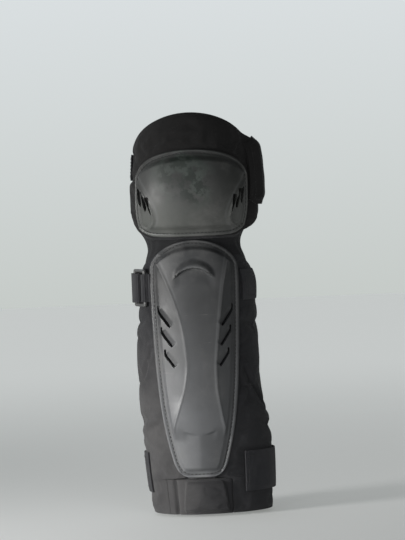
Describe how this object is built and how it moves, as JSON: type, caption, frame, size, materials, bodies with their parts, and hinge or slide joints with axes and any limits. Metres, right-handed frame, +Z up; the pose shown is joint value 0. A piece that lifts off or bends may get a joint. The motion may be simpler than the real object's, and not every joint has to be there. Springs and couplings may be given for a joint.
{
  "type": "knee and shin guard",
  "caption": "Wrap-round knee and shin guard: a hard knee cup and a hard shin plate on padded cloth, hinged at a stretch neck and closed by elastic straps.",
  "frame": {"origin": "on the knee's bend line, in the middle of the leg's width", "axes": "+Z up along the leg, -Y out of the front of the knee, +X to the right as seen from the front"},
  "size_m": [0.1748, 0.1605, 0.52],
  "materials": {
    "shell_plastic": "scuffed dark grey moulded polymer",
    "ring_plastic": "dark moulded nylon",
    "thread": "grey sewing thread",
    "cover_cloth": "dusty black woven cloth",
    "stretch_cloth": "black stretch knit",
    "binding_tape": "black folded edge tape",
    "foam": "closed-cell foam",
    "lining_cloth": "brushed mesh lining",
    "elastic": "black ribbed elastic",
    "loop_tape": "soft loop tape",
    "hook_tape": "hook tape"
  },
  "bodies": {
    "shin": {"neck_panel": "stretch_cloth", "shin_shell": "shell_plastic", "shin_shell_seam": "thread", "shin_panel": "cover_cloth", "shin_foam": "foam", "shin_lining": "lining_cloth", "ankle_pad": "cover_cloth", "shin_wing_left": "cover_cloth", "shin_wing_right": "cover_cloth", "wing_binding_left": "binding_tape", "wing_binding_right": "binding_tape", "calf_keeper": "elastic", "calf_strap_base": "elastic", "calf_strap": "elastic", "calf_loop_patch": "loop_tape", "ankle_strap_base": "elastic", "ankle_strap": "elastic", "ankle_loop_patch": "loop_tape"},
    "knee": {"knee_shell": "shell_plastic", "knee_shell_seam": "thread", "knee_cover": "cover_cloth", "knee_foam": "foam", "hood_pad": "foam", "knee_lining": "lining_cloth", "knee_binding": "binding_tape", "knee_loop_patch": "loop_tape", "knee_strap_flap": "cover_cloth"},
    "knee_strap": {"knee_strap": "elastic", "knee_strap_hook": "hook_tape"},
    "calf_ring": {"calf_ring": "ring_plastic"},
    "calf_tab": {"calf_tab": "elastic", "calf_tab_hook": "hook_tape"},
    "ankle_tab": {"ankle_tab": "elastic", "ankle_tab_hook": "hook_tape"}
  },
  "joints": [
    {"name": "knee_flex", "type": "hinge", "parent": "shin", "child": "knee", "pos_m": [0, 0, 0], "axis": [-1, 0, 0], "range_deg": [0, 60]},
    {"name": "knee_strap_open", "type": "hinge", "parent": "knee", "child": "knee_strap", "pos_m": [0.07336, 0.04303, 0.101], "axis": [0, 0, -1], "range_deg": [0, 70]},
    {"name": "calf_ring_swing", "type": "hinge", "parent": "shin", "child": "calf_ring", "pos_m": [-0.06427, -0.01354, -0.056], "axis": [0, 0, 1], "range_deg": [0, 35]},
    {"name": "calf_tab_peel", "type": "hinge", "parent": "calf_ring", "child": "calf_tab", "pos_m": [-0.07654, 0.02096, -0.056], "axis": [0, 0, 1], "range_deg": [0, 70]},
    {"name": "ankle_tab_peel", "type": "hinge", "parent": "shin", "child": "ankle_tab", "pos_m": [0.0887, 0.04632, -0.29814], "axis": [0, 0, 1], "range_deg": [0, 75]}
  ]
}
